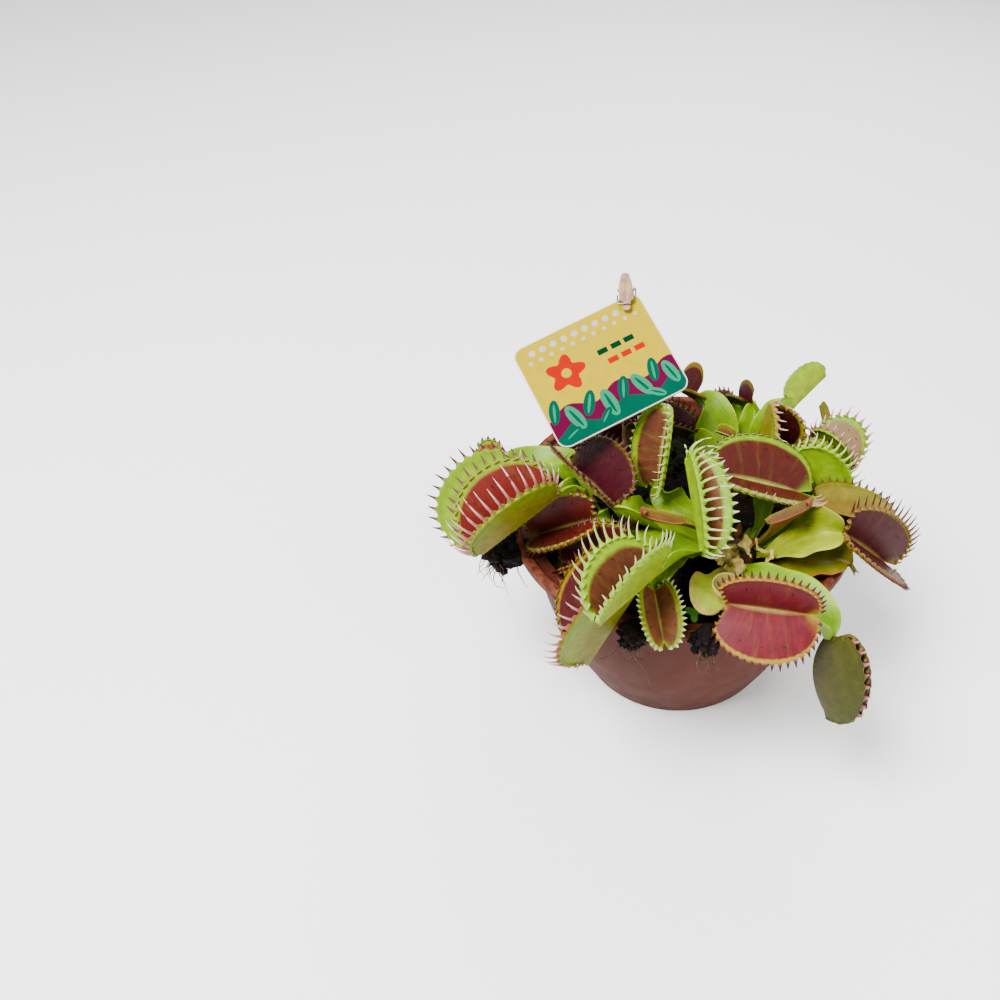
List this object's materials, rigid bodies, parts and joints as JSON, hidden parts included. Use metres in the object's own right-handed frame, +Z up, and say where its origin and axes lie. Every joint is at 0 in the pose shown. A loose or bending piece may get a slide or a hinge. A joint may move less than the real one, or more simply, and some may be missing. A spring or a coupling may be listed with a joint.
{
  "type": "potted venus flytrap",
  "caption": "Venus flytrap in a low terracotta-coloured plastic pot, with open and closed traps and a label card held by a small peg on a stick.",
  "frame": {"origin": "centre of the pot's base, on the surface it stands on", "axes": "+Z up along the pot's axis, -Y towards the front of the plant, +X to its right"},
  "size_m": [0.1331, 0.1155, 0.1124],
  "materials": {
    "terracotta_plastic": "satin moulded plastic",
    "dark_soil": "rough, damp peat mix",
    "printed_card": "smooth printed card",
    "pale_wood": "raw birch",
    "spring_steel": "bright wire",
    "dry_stalk": "dry, fibrous",
    "leaf_crown": "fleshy, scaly",
    "leaf_green": "waxy living leaf",
    "leaf_lime": "waxy living leaf",
    "leaf_olive": "waxy living leaf",
    "leaf_orange": "waxy living leaf",
    "leaf_red": "waxy living leaf, red trap",
    "leaf_maroon": "waxy living leaf, dark red trap"
  },
  "bodies": {
    "plant_and_pot": {"pot": "terracotta_plastic", "soil": "dark_soil", "crown_front": "leaf_crown", "crown_rear": "leaf_crown", "crown_left": "leaf_crown", "leaf_big_red_left": "leaf_red", "leaf_green_far_left": "leaf_green", "leaf_small_far_left": "leaf_orange", "leaf_red_inner_left": "leaf_red", "leaf_dark_red_left": "leaf_maroon", "leaf_long_front_left": "leaf_green", "leaf_maroon_under_card": "leaf_maroon", "leaf_young_left": "leaf_orange", "leaf_lime_front_left": "leaf_lime", "leaf_small_front": "leaf_orange", "leaf_wide_red_front": "leaf_red", "leaf_hanging_front_right": "leaf_olive", "leaf_red_right": "leaf_red", "leaf_curled_right": "leaf_olive", "leaf_young_right": "leaf_orange", "leaf_green_centre_left": "leaf_green", "leaf_lime_centre": "leaf_lime", "leaf_red_centre": "leaf_red", "leaf_lime_back_right": "leaf_lime", "leaf_olive_right": "leaf_olive", "leaf_dark_behind_card": "leaf_maroon", "leaf_hairpin_back": "leaf_orange", "leaf_upright_back_left": "leaf_maroon", "leaf_serrated_back": "leaf_maroon", "leaf_small_back": "leaf_maroon", "leaf_tall_closed_back": "leaf_lime", "leaf_arching_back": "leaf_olive", "leaf_green_back_right": "leaf_green", "leaf_purple_back_right": "leaf_maroon", "label_card": "printed_card", "peg_back_leg": "pale_wood", "peg_spring": "spring_steel", "tag_stick": "pale_wood", "soil_crumb_left": "dark_soil", "soil_crumb_front_left": "dark_soil", "soil_crumb_front_right": "dark_soil", "cut_stalk": "dry_stalk", "seedling": "leaf_lime"},
    "peg_front_jaw": {"peg_front_leg": "pale_wood", "peg_spring_front_arm": "spring_steel"}
  },
  "joints": [
    {"name": "peg_open", "type": "hinge", "parent": "plant_and_pot", "child": "peg_front_jaw", "pos_m": [-0.02014, 0.03219, 0.10769], "axis": [-0.9901, -0.0772, -0.1173], "range_deg": [0, 12], "stiffness_Nm_per_rad": 0.0005}
  ]
}
